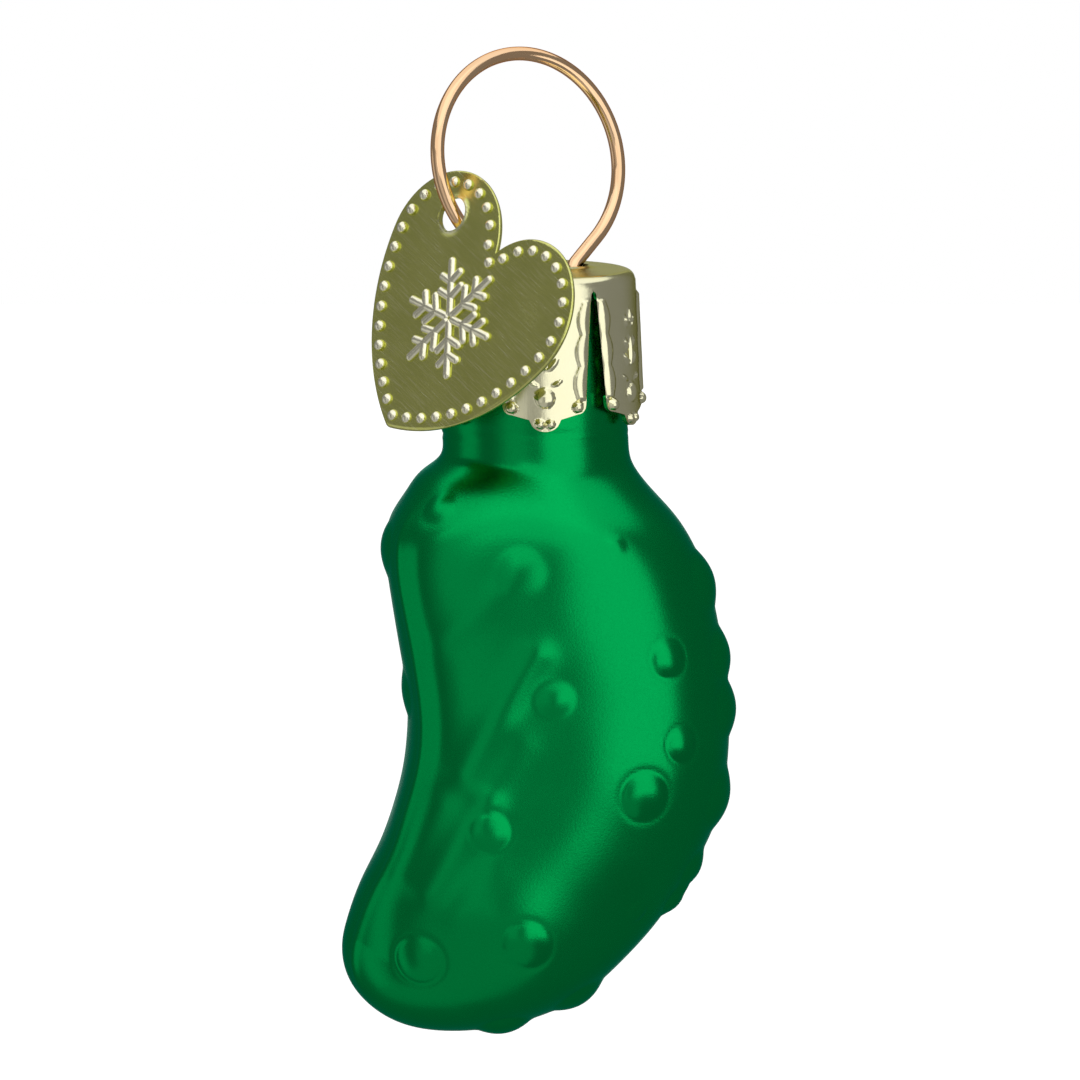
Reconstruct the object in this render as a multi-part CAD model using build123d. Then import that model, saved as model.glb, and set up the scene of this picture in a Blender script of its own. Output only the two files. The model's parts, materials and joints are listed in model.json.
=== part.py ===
from build123d import *
import math
import os

# A small mould-blown glass pickle that hangs by a wire loop: a hollow silvered body with an
# open neck, a stamped cap on the neck, a wire loop sprung into the neck through the cap,
# and a stamped heart tag threaded on the loop.
# Millimetres and degrees, +Z up, +X to the right and -Y towards the viewer.
# The origin is the inside top of the wire loop, where a hook or a twig carries the part.

# Wire loop
WIRE_D = 0.85
LOOP_R = 6.45           # middle of the wire
LOOP_FOOT_GAP = 0.15    # from the cap's top to the lowest point of the loop's circle
LOOP_YAW = 33.8         # turn of the loop's plane, its left side towards the viewer
LOOP_TILT = 13.2        # of the loop away from the viewer; its legs stay upright
LOOP_LEAN = 4.4         # of the loop to the right, in its own plane
LOOP_HOLE_SPACING = 5.0
WIRE_BEND_R = 1.2
LEG_DEPTH = 9.0         # how far the sprung legs reach below the cap's top
LEG_CLEARANCE = 0.35    # from a leg to the neck's bore

# Glass body
NECK_D = 11.2
NECK_LENGTH = 10.8
GLASS_WALL = 0.8
RIM_SHARE = 0.45        # most of the wall that one rounding of the neck's rim may take
BODY_LENGTH = 34.1      # from the foot of the neck to the far end
BODY_WIDTH = 19.4
BODY_DEPTH = 15.8
ROUND = 0.5523          # reach of a quarter curve's handles that makes an ellipse; more is boxier
RIGHT_FULLNESS = 0.66   # the same reach where the body is widest
LEFT_FULLNESS = 0.86
NARROW = 0.6            # share of the width below which a section is an ellipse
FACE_WART_RISE = 0.32
EDGE_WART_RISE = 0.5

# Stamped cap
CAP_SHEET = 0.28
CAP_EDGE_R = 0.6
CAP_NECK_CLEARANCE = 0.12
CAP_SEAT_GAP = 0.05
CAP_FLARE = 0.45        # how far the lobes spread, from the top to the tips
CAP_LOBES = 6
CAP_TURN = 5.5          # of a lobe's middle, to the right of the viewer's side
LOBE_DROP = 8.1         # from the cap's top to the lobes' corners
TONGUE_DROP = 1.0       # from the corners to the lobes' tips
TONGUE_SHOULDER = 0.3   # from the corners to where the tongue narrows
TONGUE_WIDTH = 1.8
SLOT_DROP = 0.8         # from the cap's top to the slots' upper ends
SLOT_TOP_WIDTH = 0.36
SLOT_FOOT_WIDTH = 1.5
LOBE_CORNER_R = 0.55
CAP_HOLE_PLAY = 1.4     # hole's diameter over the wire's
CORNER_BEAD_R = 0.36
CORNER_BEAD_RISE = 0.43  # above the lobe's corner
TIP_BEAD_R = 0.28
TIP_BEAD_RISE = 0.45    # above the lobe's tip
TIP_BEAD_SPACING = 0.64
BOSS_R = 0.6
BOSS_RISE = 1.0         # above the lobe's corners
BOSS_HEIGHT = 0.3

# Heart tag
TAG_SHEET = 0.3
TAG_WIDTH = 17.7
TAG_HEIGHT = 15.25
TAG_NOTCH_RISE = 1.9    # of the notch above the lobes' centres
TAG_SIDE_ANGLE = 14.7   # where a lobe runs into a side, below the lobe's centre
TAG_TIP_R = 0.6
TAG_HOLE_PLAY = 1.35    # hole's diameter over the wire's
TAG_HOLE_SHIFT = (-0.6, 1.8)  # from the left lobe's centre
TAG_CLIMB = 13.0        # of the tag's hole along the loop, above the loop's left end
TAG_YAW = 46.3          # turn of the tag's face to the left
TAG_ROLL = 25.8         # lean of the heart to the right, in its own plane
TAG_SEAT_GAP = 0.25     # from the tag's back to the cap's edge, which it leans on
TAG_BEADS = 40
TAG_BEAD_R = 0.32
TAG_BEAD_INSET = 0.75

# Cross-sections of the pickle, from the neck to the far end, as shares of its sizes:
# drop below the neck, place of the middle to the right, breadth, and tilt in degrees
SECTIONS = (
    (0.030, -0.017, 0.664, 0.0),
    (0.066, -0.017, 0.762, 0.0),
    (0.119, -0.003, 0.895, 0.0),
    (0.189, 0.025, 0.974, 0.0),
    (0.296, 0.068, 1.000, 0.0),
    (0.419, 0.100, 0.993, 0.0),
    (0.544, 0.097, 1.000, 1.5),
    (0.642, 0.054, 0.988, 5.4),
    (0.730, -0.018, 0.934, 9.6),
    (0.804, -0.105, 0.859, 17.9),
    (0.868, -0.206, 0.765, 25.7),
    (0.919, -0.316, 0.623, 29.9),
    (0.956, -0.412, 0.439, 32.5),
    (0.981, -0.455, 0.260, 31.7),
)
FAR_END = (0.994, -0.472)

# Warts: place to the right and drop, as shares of the width and the length, and foot radius
FRONT_WARTS = (
    (-0.043, 0.185, 1.4),
    (0.031, 0.411, 1.5),
    (0.411, 0.340, 1.2),
    (0.455, 0.493, 1.1),
    (0.340, 0.581, 1.4),
    (-0.139, 0.642, 1.2),
    (-0.361, 0.877, 1.5),
    (-0.031, 0.839, 1.4),
    (0.314, 0.792, 1.0),
    (0.247, 0.141, 0.9),
    (-0.294, 0.076, 1.2),
)
BACK_WARTS = (
    (0.180, 0.150, 1.3),
    (-0.230, 0.240, 1.4),
    (0.320, 0.300, 1.2),
    (0.020, 0.360, 1.5),
    (-0.210, 0.480, 1.2),
    (0.270, 0.520, 1.4),
    (0.060, 0.610, 1.3),
    (0.370, 0.690, 1.2),
    (-0.190, 0.740, 1.4),
    (0.120, 0.800, 1.2),
    (-0.330, 0.890, 1.4),
)
# Warts on the outline: drop as a share of the length, and foot radius
RIGHT_WARTS = ((0.217, 2.0), (0.349, 1.8), (0.446, 1.9), (0.607, 2.1), (0.733, 1.5), (0.783, 1.3))
LEFT_WARTS = ((0.164, 1.8), (0.419, 1.6))
# Warts under the pickle: place to the right as a share of the width, and foot radius
UNDER_WARTS = ((0.139, 1.8), (-0.093, 1.7))

# Places that several pieces share, measured from the middle of the cap's top
NECK_R = NECK_D / 2
BORE_R = NECK_R - GLASS_WALL
RIM_Z = -(CAP_SHEET + CAP_SEAT_GAP)
FOOT_Z = RIM_Z - NECK_LENGTH
CAP_TOP_R = NECK_R + CAP_NECK_CLEARANCE + CAP_SHEET
CAP_FOOT_R = CAP_TOP_R + CAP_FLARE
CAP_HEIGHT = LOBE_DROP + TONGUE_DROP
CAP_INNER_EDGE_R = CAP_EDGE_R - CAP_SHEET
LOOP_RISE = LOOP_R + LOOP_FOOT_GAP
YAW = math.radians(LOOP_YAW)
TILT = math.radians(LOOP_TILT)
LOOP_PLANE = Plane(
    origin=(0, 0, 0),
    x_dir=(math.cos(YAW), math.sin(YAW), 0),
    z_dir=(math.sin(YAW) * math.cos(TILT), -math.cos(YAW) * math.cos(TILT), math.sin(TILT)),
)
TAG_LOBE_R = TAG_WIDTH / 4 + TAG_NOTCH_RISE**2 / TAG_WIDTH
TAG_LOBE_OFFSET = TAG_WIDTH / 2 - TAG_LOBE_R
TAG_LOBE_HEIGHT = TAG_HEIGHT - TAG_LOBE_R
TAG_HOLE = (TAG_HOLE_SHIFT[0] - TAG_LOBE_OFFSET, TAG_HOLE_SHIFT[1] + TAG_LOBE_HEIGHT)
OUTSIDE = BODY_LENGTH + NECK_LENGTH + BODY_WIDTH  # further out than any piece reaches


def on_loop(along, up):
    """A place in the leaned and tilted plane of the loop."""
    lean = math.radians(LOOP_LEAN)
    right = along * math.cos(lean) + up * math.sin(lean)
    rise = up * math.cos(lean) - along * math.sin(lean)
    return LOOP_PLANE.from_local_coords(Vector(right, rise, 0))


def loop_tangent():
    """Where a straight leg runs into the loop, on the right before the lean."""
    hole = LOOP_HOLE_SPACING / 2
    distance = math.hypot(hole, LOOP_RISE)
    length = math.sqrt(distance**2 - LOOP_R**2)
    angle = math.atan2(LOOP_RISE, -hole) - math.asin(LOOP_R / distance)
    return (hole + length * math.cos(angle), length * math.sin(angle))


def leg_points(side):
    """One side of the wire: its end in the neck, its bend in the cap's hole, and where the loop starts."""
    spread = BORE_R - WIRE_D / 2 - LEG_CLEARANCE
    end = LOOP_PLANE.x_dir * side * spread - Vector(0, 0, LEG_DEPTH)
    along, up = loop_tangent()
    return [end, on_loop(side * LOOP_HOLE_SPACING / 2, 0), on_loop(side * along, up)]


def hanger_wire():
    """One wire: a leg in the neck, out through the cap, round the loop and back in."""
    first = leg_points(-1)
    last = leg_points(1)
    left = FilletPolyline(first, radius=WIRE_BEND_R)
    loop = ThreePointArc(first[-1], on_loop(0, LOOP_RISE + LOOP_R), last[-1])
    right = FilletPolyline(last[::-1], radius=WIRE_BEND_R)
    path = Wire([*left.edges(), *loop.edges(), *right.edges()])
    section = Plane(origin=path @ 0, z_dir=path % 0) * Circle(WIRE_D / 2)
    return sweep(section, path)


def section_plane(drop, across, tilt):
    """The plane of one cross-section of the pickle, its X axis along the section's breadth."""
    angle = math.radians(tilt)
    return Plane(
        origin=(across * BODY_WIDTH, 0, FOOT_Z - drop * BODY_LENGTH),
        x_dir=(math.cos(angle), 0, -math.sin(angle)),
        z_dir=(-math.sin(angle), 0, -math.cos(angle)),
    )


def section_outline(a, b, fullness):
    """A closed outline of four quarter curves, boxier on the left than on the right."""
    right = ROUND + (RIGHT_FULLNESS - ROUND) * fullness
    left = ROUND + (LEFT_FULLNESS - ROUND) * fullness
    return make_face([
        Bezier((a, 0), (a, right * b), (right * a, b), (0, b)),
        Bezier((0, b), (-left * a, b), (-a, left * b), (-a, 0)),
        Bezier((-a, 0), (-a, -left * b), (-left * a, -b), (0, -b)),
        Bezier((0, -b), (right * a, -b), (a, -right * b), (a, 0)),
    ])


def section_faces(inset):
    """The pickle's cross-sections, drawn in by the given wall, starting at the neck's foot."""
    quarters = [CenterArc((0, 0), NECK_R - inset, 90 * index, 90) for index in range(4)]
    faces = [section_plane(0, 0, 0) * make_face(quarters)]
    for drop, across, breadth, tilt in SECTIONS:
        half_breadth = breadth * BODY_WIDTH / 2
        half_depth = half_breadth * (1 - (1 - BODY_DEPTH / BODY_WIDTH) * breadth**3)
        fullness = max(0, (breadth - NARROW) / (1 - NARROW))
        outline = section_outline(half_breadth - inset, half_depth - inset, fullness)
        faces.append(section_plane(drop, across, tilt) * outline)
    return faces


def wart(body, start, direction, foot_r, rise):
    """A domed wart where a ray from outside first meets the body."""
    ray = Axis(start, direction)
    hits = body.find_intersection_points(ray)
    seat, normal = min(hits, key=lambda hit: (hit[0] - Vector(start)).length)
    dome_r = (foot_r**2 + rise**2) / (2 * rise)
    outward = normal.normalized()
    if outward.dot(Vector(direction)) > 0:
        outward = -outward
    return Pos(*(seat - outward * (dome_r - rise))) * Sphere(dome_r)


def warts(body):
    """All warts of the pickle, each found by a ray from its own side."""
    found = []
    for side, rows in ((-1, FRONT_WARTS), (1, BACK_WARTS)):
        for across, drop, foot_r in rows:
            start = (across * BODY_WIDTH, side * OUTSIDE, FOOT_Z - drop * BODY_LENGTH)
            found.append(wart(body, start, (0, -side, 0), foot_r, FACE_WART_RISE))
    for side, rows in ((1, RIGHT_WARTS), (-1, LEFT_WARTS)):
        for drop, foot_r in rows:
            start = (side * OUTSIDE, 0, FOOT_Z - drop * BODY_LENGTH)
            found.append(wart(body, start, (-side, 0, 0), foot_r, EDGE_WART_RISE))
    for across, foot_r in UNDER_WARTS:
        found.append(wart(body, (across * BODY_WIDTH, 0, -OUTSIDE), (0, 0, 1), foot_r, EDGE_WART_RISE))
    return found


def glass_body():
    """The blown shell: a warty pickle with a straight open neck."""
    far_drop, far_across = FAR_END
    far_end = Vertex(far_across * BODY_WIDTH, 0, FOOT_Z - far_drop * BODY_LENGTH)
    outside = loft([*section_faces(0), far_end])
    inside = loft(section_faces(GLASS_WALL))
    neck = Pos(0, 0, RIM_Z) * Cylinder(NECK_R, NECK_LENGTH, align=(Align.CENTER, Align.CENTER, Align.MAX))
    bore = Pos(0, 0, RIM_Z) * Cylinder(BORE_R, NECK_LENGTH, align=(Align.CENTER, Align.CENTER, Align.MAX))
    shell = (outside + neck + warts(outside)) - inside - bore
    rim = shell.faces().sort_by(Axis.Z)[-1]
    return fillet(rim.edges(), min(CAP_INNER_EDGE_R, RIM_SHARE * GLASS_WALL))


def cup(radius_top, radius_foot, top_z, edge_r):
    """A round cup, open downwards, that spreads from its top to its foot."""
    corner = (radius_top, top_z)
    profile = make_face(Polyline((0, top_z), corner, (radius_foot, -CAP_HEIGHT), (0, -CAP_HEIGHT), close=True))
    rounded = profile.vertices().sort_by_distance(corner)[0]
    return revolve(Plane.XZ * fillet(rounded, edge_r), Axis.Z)


def slot_cutter():
    """What is cut away between two lobes, from the slot down to the middles of the lobes."""
    middle = CAP_FOOT_R * math.sin(math.pi / CAP_LOBES)
    tongue = middle - TONGUE_WIDTH / 2 * math.cos(math.pi / CAP_LOBES)
    top = SLOT_TOP_WIDTH / 2
    foot = SLOT_FOOT_WIDTH / 2
    corner_out = (foot + LOBE_CORNER_R, -LOBE_DROP)
    corner_in = (foot, -LOBE_DROP + LOBE_CORNER_R)
    corner_mid = LOBE_CORNER_R * (1 - math.sqrt(0.5))
    side = (tongue, -LOBE_DROP - TONGUE_SHOULDER)
    tip = (middle, -CAP_HEIGHT)
    below = -CAP_HEIGHT - TONGUE_DROP
    edges = [
        Line((0, -SLOT_DROP), (top, -SLOT_DROP - top)),
        Line((top, -SLOT_DROP - top), corner_in),
        ThreePointArc(corner_in, (foot + corner_mid, -LOBE_DROP + corner_mid), corner_out),
        Line(corner_out, side),
        TangentArc(side, tip, tangent=(0, -1)),
        Line(tip, (middle, below)),
        Line((middle, below), (0, below)),
        Line((0, below), (0, -SLOT_DROP)),
    ]
    half = make_face(edges)
    outline = half + mirror(half, Plane.YZ)
    return extrude(Plane.XZ * outline, OUTSIDE)


def on_lobe(angle, z, sink):
    """A place on the cap's outside, at an angle from the viewer's side."""
    radius = CAP_TOP_R + CAP_FLARE * -z / CAP_HEIGHT - sink
    turn = math.radians(angle)
    return Pos(radius * math.sin(turn), -radius * math.cos(turn), z)


def lobe_beads(middle_angle):
    """The beads and the boss that are stamped into one lobe."""
    pitch = 180 / CAP_LOBES
    corner = pitch - math.degrees(math.asin((SLOT_FOOT_WIDTH / 2 + LOBE_CORNER_R) / CAP_FOOT_R))
    tip = math.degrees(TIP_BEAD_SPACING / 2 / CAP_FOOT_R)
    beads = [on_lobe(middle_angle, -LOBE_DROP + BOSS_RISE, BOSS_R - BOSS_HEIGHT) * Sphere(BOSS_R)]
    for side in (-1, 1):
        corner_place = on_lobe(middle_angle + side * corner, -LOBE_DROP + CORNER_BEAD_RISE, 0)
        beads.append(corner_place * Sphere(CORNER_BEAD_R))
        tip_place = on_lobe(middle_angle + side * tip, -CAP_HEIGHT + TIP_BEAD_RISE, 0)
        beads.append(tip_place * Sphere(TIP_BEAD_R))
    return beads


def crown_cap():
    """The stamped cap: a flat top with two wire holes, and lobes that spread over the neck."""
    outer = cup(CAP_TOP_R, CAP_FOOT_R, 0, CAP_EDGE_R)
    inner = cup(CAP_TOP_R - CAP_SHEET, CAP_FOOT_R - CAP_SHEET, -CAP_SHEET, CAP_INNER_EDGE_R)
    pitch = 360 / CAP_LOBES
    beads = []
    cuts = []
    for index in range(CAP_LOBES):
        angle = CAP_TURN + index * pitch
        beads += lobe_beads(angle)
        cuts.append(Rot(0, 0, angle + pitch / 2) * slot_cutter())
    hole = Cylinder((WIRE_D + CAP_HOLE_PLAY) / 2, CAP_HEIGHT)
    for side in (-1, 1):
        place = LOOP_PLANE.from_local_coords(Vector(side * LOOP_HOLE_SPACING / 2, 0, 0))
        cuts.append(Pos(*place) * hole)
    return (outer + beads) - inner - cuts


def heart_outline():
    """A heart with its tip at the origin, from two round lobes and two long side arcs."""
    angle = math.radians(TAG_SIDE_ANGLE)
    span = TAG_LOBE_OFFSET**2 + TAG_LOBE_HEIGHT**2 - TAG_LOBE_R**2
    lean = TAG_LOBE_OFFSET * math.cos(angle) - TAG_LOBE_HEIGHT * math.sin(angle)
    extra = span / (2 * (TAG_LOBE_R + lean))
    side_r = TAG_LOBE_R + extra
    side_x = TAG_LOBE_OFFSET - extra * math.cos(angle)
    side_y = TAG_LOBE_HEIGHT + extra * math.sin(angle)
    notch = (0, TAG_LOBE_HEIGHT + TAG_NOTCH_RISE)
    crest = (TAG_LOBE_OFFSET, TAG_HEIGHT)
    join = (side_x + side_r * math.cos(angle), side_y - side_r * math.sin(angle))
    halfway = (math.atan2(-side_y, -side_x) - angle) / 2
    waist = (side_x + side_r * math.cos(halfway), side_y + side_r * math.sin(halfway))
    half = make_face([
        ThreePointArc(notch, crest, join),
        ThreePointArc(join, waist, (0, 0)),
        Line((0, 0), notch),
    ])
    return half + mirror(half, Plane.YZ)


def tag_pitch(hole):
    """How far the tag's face leans up when its back rests on the cap's rounded edge."""
    yaw = math.radians(TAG_YAW)
    ahead = -hole.X * math.sin(yaw) - hole.Y * math.cos(yaw)
    short = CAP_TOP_R - CAP_EDGE_R - ahead
    rise = hole.Z + CAP_EDGE_R
    stand_off = CAP_EDGE_R + TAG_SHEET / 2 + TAG_SEAT_GAP
    return math.acos(-stand_off / math.hypot(short, rise)) - math.atan2(rise, short)


def tag_spot():
    """Where the tag's hole is threaded on the left of the loop."""
    along, up = loop_tangent()
    turn = math.atan2(up - LOOP_RISE, -along) - math.radians(TAG_CLIMB)
    return on_loop(LOOP_R * math.cos(turn), LOOP_RISE + LOOP_R * math.sin(turn))


def tag_plane():
    """The tag's plane, with its origin at the heart's tip and its Y axis up the heart."""
    hole = tag_spot()
    yaw = math.radians(TAG_YAW)
    pitch = tag_pitch(hole)
    face = (-math.sin(yaw) * math.cos(pitch), -math.cos(yaw) * math.cos(pitch), math.sin(pitch))
    level = Plane(origin=hole, x_dir=(math.cos(yaw), -math.sin(yaw), 0), z_dir=face)
    turned = Plane(level.location * Rot(0, 0, -TAG_ROLL))
    return turned.shift_origin(turned.from_local_coords(Vector(-TAG_HOLE[0], -TAG_HOLE[1], 0)))


def heart_tag():
    """The stamped heart on the loop's left leg, with a beaded border on its face."""
    outline = heart_outline()
    tip = outline.vertices().sort_by(Axis.Y)[0]
    plate = extrude(fillet(tip, TAG_TIP_R), TAG_SHEET / 2, both=True)
    hole = Pos(*TAG_HOLE, 0) * Cylinder((WIRE_D + TAG_HOLE_PLAY) / 2, TAG_HEIGHT)
    border = offset(outline, -TAG_BEAD_INSET).wires()[0]
    notch = border.param_at_point((0, TAG_LOBE_HEIGHT + TAG_NOTCH_RISE - TAG_BEAD_INSET))
    beads = []
    for index in range(TAG_BEADS):
        place = border.position_at((notch + index / TAG_BEADS) % 1)
        beads.append(Pos(place.X, place.Y, TAG_SHEET / 2) * Sphere(TAG_BEAD_R))
    return tag_plane() * (plate + beads - hole)


PIECES = {
    "hanger_wire": hanger_wire(),
    "crown_cap": crown_cap(),
    "glass_body": glass_body(),
    "heart_tag": heart_tag(),
}

bearing = on_loop(0, LOOP_RISE) + LOOP_PLANE.y_dir * (LOOP_R - WIRE_D / 2)
os.makedirs("parts", exist_ok=True)
for name, piece in PIECES.items():
    export_step(Pos(*-bearing) * piece, f"parts/{name}.step")
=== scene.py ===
import json
import math

import bmesh
import bpy
import numpy as np
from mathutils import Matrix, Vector
from mathutils.bvhtree import BVHTree
from numpy.linalg import norm


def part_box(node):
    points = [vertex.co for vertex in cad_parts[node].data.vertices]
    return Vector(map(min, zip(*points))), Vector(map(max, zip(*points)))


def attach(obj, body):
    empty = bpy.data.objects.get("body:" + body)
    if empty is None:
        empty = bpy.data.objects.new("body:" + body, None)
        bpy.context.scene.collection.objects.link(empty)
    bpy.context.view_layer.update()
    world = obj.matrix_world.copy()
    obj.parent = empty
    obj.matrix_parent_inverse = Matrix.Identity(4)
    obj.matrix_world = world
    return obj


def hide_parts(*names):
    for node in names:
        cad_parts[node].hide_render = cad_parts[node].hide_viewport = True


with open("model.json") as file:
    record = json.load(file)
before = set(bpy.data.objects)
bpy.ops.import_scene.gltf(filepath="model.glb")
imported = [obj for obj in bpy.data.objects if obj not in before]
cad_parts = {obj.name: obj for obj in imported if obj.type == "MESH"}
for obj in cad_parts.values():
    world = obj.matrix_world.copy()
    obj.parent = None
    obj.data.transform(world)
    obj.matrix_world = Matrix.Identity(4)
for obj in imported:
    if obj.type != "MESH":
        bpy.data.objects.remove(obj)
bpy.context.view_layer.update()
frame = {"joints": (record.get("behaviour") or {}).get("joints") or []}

# Sizes are in millimetres and degrees, as on the solids, and are measured from the middle of the
# cap's top; placed() turns them into the frame's metres.
MM = 0.001
JOINTS = {joint["name"]: joint for joint in frame["joints"]}
CAP_MIDDLE = np.array([*JOINTS["loop_rock"]["pos_m"][:2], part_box("crown_cap")[1].z])

# Glass body
NECK_R = 5.6
NECK_LENGTH = 10.8
GLASS_WALL = 0.8
RIM_Z = -0.33
FOOT_Z = RIM_Z - NECK_LENGTH
BODY_LENGTH = 34.1
BODY_WIDTH = 19.4
BODY_DEPTH = 15.8
FLARE_DROP = 0.1  # where the neck starts to spread into the shoulder
FLARE_R = 5.7
ROUND = 0.5523  # reach of a quarter curve's handles that makes an ellipse; more is boxier
RIGHT_FULLNESS = 0.66  # the same reach where the body is widest
LEFT_FULLNESS = 0.86
NARROW = 0.6  # share of the width below which a section is an ellipse
EDGE_WART_RISE = 0.46
LEFT_WART_RISE = 0.3
BACK_WART_RISE = 0.24
BACK_WART_GROOVE = 0.05
EDGE_WART_FRONT = 1.2  # of the outline's warts, forward of the body's middle
EDGE_WART_LENGTH = 1.5  # of the same warts from front to back, as a multiple of their height
RING_PLACE = 1.1  # of the groove round a wart, as a multiple of its foot radius
RING_WIDTH = 0.14
# How a wart falls off to its foot: under 1 is a full dome, and over 1 a soft swell
RINGED_FALL = 0.95
PLAIN_FALL = 1.6
BACK_FALL = 0.8
EDGE_FALL = 1.25
UNDER_FALL = 1.1
RIB_INSET = 0.85  # of the moulded rib along the front's left corner, from the left edge
RIB_RISE = 0.09
RIB_WIDTH = 0.42
RIB_START = (2.0, 5.0)  # drops between which the rib rises
RIB_BREADTH = (5.0, 9.0)  # breadths of the body between which it rises
RIB_GROOVE = 0.05  # depth of the hollow beside the rib
RIB_GROOVE_SHIFT = 1.0
RIB_GROOVE_WIDTH = 0.55
RIB_GROOVE_START = (3.5, 6.0)
RIB_GROOVE_END = (17.0, 21.0)
GLASS_QUARTER = 80  # columns in each quarter of a section
GLASS_COLUMNS = 4 * GLASS_QUARTER
GLASS_ROWS = 262
INNER_ROWS = 40
INNER_END = (0.3, 0, 0.4)  # from the end of the inside back to the middle of its last section
LIP_ROWS = 9

# Cross-sections from the neck to the far end, as shares of the body's length and width:
# drop below the neck, place of the middle to the right, breadth, and tilt in degrees
SECTIONS = (
    (0.030, -0.017, 0.664, 0.0),
    (0.066, -0.017, 0.762, 0.0),
    (0.119, -0.003, 0.895, 0.0),
    (0.189, 0.025, 0.974, 0.0),
    (0.296, 0.068, 1.000, 0.0),
    (0.419, 0.100, 0.993, 0.0),
    (0.544, 0.097, 1.000, 1.5),
    (0.642, 0.054, 0.988, 5.4),
    (0.730, -0.018, 0.934, 9.6),
    (0.804, -0.105, 0.859, 17.9),
    (0.868, -0.206, 0.765, 25.7),
    (0.919, -0.316, 0.623, 29.9),
    (0.956, -0.412, 0.439, 32.5),
    (0.981, -0.455, 0.260, 31.7),
    (0.994, -0.472, 0.000, 31.7),
)
# Warts: place to the right and drop, as shares of the width and the length, and foot radius;
# those on the front also have their rise and the depth of the moulded ring round them
FRONT_WARTS = (
    (-0.043, 0.185, 1.7, 0.18, 0.0),
    (0.060, 0.407, 1.3, 0.24, 0.0),
    (0.411, 0.340, 1.1, 0.24, 0.05),
    (0.455, 0.493, 1.0, 0.22, 0.05),
    (0.340, 0.581, 1.4, 0.26, 0.05),
    (-0.139, 0.642, 1.2, 0.24, 0.02),
    (-0.361, 0.877, 1.5, 0.25, 0.06),
    (-0.031, 0.839, 1.4, 0.24, 0.04),
    (0.314, 0.792, 0.8, 0.16, 0.02),
    (0.247, 0.141, 0.8, 0.10, 0.0),
    (-0.294, 0.076, 1.2, 0.14, 0.0),
)
BACK_WARTS = (
    (0.18, 0.15, 1.3),
    (-0.23, 0.24, 1.4),
    (0.32, 0.30, 1.2),
    (0.02, 0.36, 1.5),
    (-0.21, 0.48, 1.2),
    (0.27, 0.52, 1.4),
    (0.06, 0.61, 1.3),
    (0.37, 0.69, 1.2),
    (-0.19, 0.74, 1.4),
    (0.12, 0.80, 1.2),
    (-0.33, 0.89, 1.4),
)
# Warts on the outline: drop as a share of the length, and foot radius
RIGHT_WARTS = ((0.217, 2.0), (0.349, 1.8), (0.446, 1.9), (0.607, 2.1), (0.733, 1.5), (0.783, 1.3))
LEFT_WARTS = ((0.164, 1.8), (0.419, 1.6))
# Warts underneath: place to the right as a share of the width, and foot radius
UNDER_WARTS = ((0.139, 1.8), (-0.093, 1.7))
# Soft folds of the blown front: two ends (right of the neck's axis, drop), half width and rise
FOLDS = (
    ((-4.2, 18.4), (0.0, 11.2), 1.0, 0.24),
    ((-5.6, 10.4), (-1.8, 7.4), 0.9, 0.10),
    ((-2.6, 19.4), (-1.0, 16.6), 1.2, 0.14),
    ((-5.6, 20.5), (-8.0, 24.5), 0.9, 0.10),
    ((-3.0, 20.2), (-6.4, 25.6), 1.0, 0.22),
    ((-4.6, 27.0), (-2.6, 24.0), 1.0, 0.08),
    ((-2.0, 26.9), (0.6, 29.0), 3.0, 0.62),
)
NECK_MARKS = (-1.75, -1.25)  # drops of the faint rings left on the neck
NECK_MARK_DEPTH = 0.09
NECK_MARK_WIDTH = 0.14
FOLD_FACING = (0.2, 0.7)  # how far a place faces the front, between which the folds rise
# Slow waves all over the body: radians for each millimetre down, waves round it and phase
WAVES = ((0.55, 2, 0), (0.9, -3, 1), (0.35, 5, 0))
WAVE_RISE = 0.025

# Stamped cap
CAP_SHEET = 0.28
CAP_TOP_R = 6.0
CAP_FLARE = 0.45
CAP_EDGE_R = 0.6
CAP_HEIGHT = 9.1
CAP_LOBES = 6
CAP_TURN = 5.5
LOBE_DROP = 8.1
TONGUE_SHOULDER = 0.3
TONGUE_WIDTH = 1.8
SLOT_DROP = 0.8
SLOT_TOP_WIDTH = 0.36
SLOT_FOOT_WIDTH = 1.5
LOBE_CORNER_R = 0.55
CAP_HOLE_R = 1.125
LOBE_COLUMNS = 61
LOBE_ROWS = 100
TOP_ROWS = 26
EDGE_ROWS = 8
EDGE_CROWDING = 1.15  # over 1 sets a lobe's columns closer at its edges
CAP_WELD = 0.002  # points closer than this are joined where the lobes meet
HOLE_SIDES = 64
SHARP_ANGLE = 50  # between faces that meet in a sharp edge
STRIP_WIDTH = 0.72  # raised border along each edge of a lobe
STRIP_SCALLOP = 0.26
STRIP_TOP = 1.5
STRIP_TOP_FADE = 0.3
STRIP_FOOT = 7.1
STRIP_FOOT_FADE = 0.25
SCALLOPS = 3
STRIP_RISE = 0.17
STRIP_FULLNESS = 0.8  # under 1 is fuller than a half wave
STRIP_GROOVE = 0.05
STRIP_GROOVE_SHIFT = 0.08
STRIP_GROOVE_WIDTH = 0.13
COLLAR_RISE = 0.1  # of the sheet drawn up round each wire hole
COLLAR_WIDTH = 0.3
LEAF_RISE = 0.16
LEAF_FULLNESS = 0.6
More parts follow.
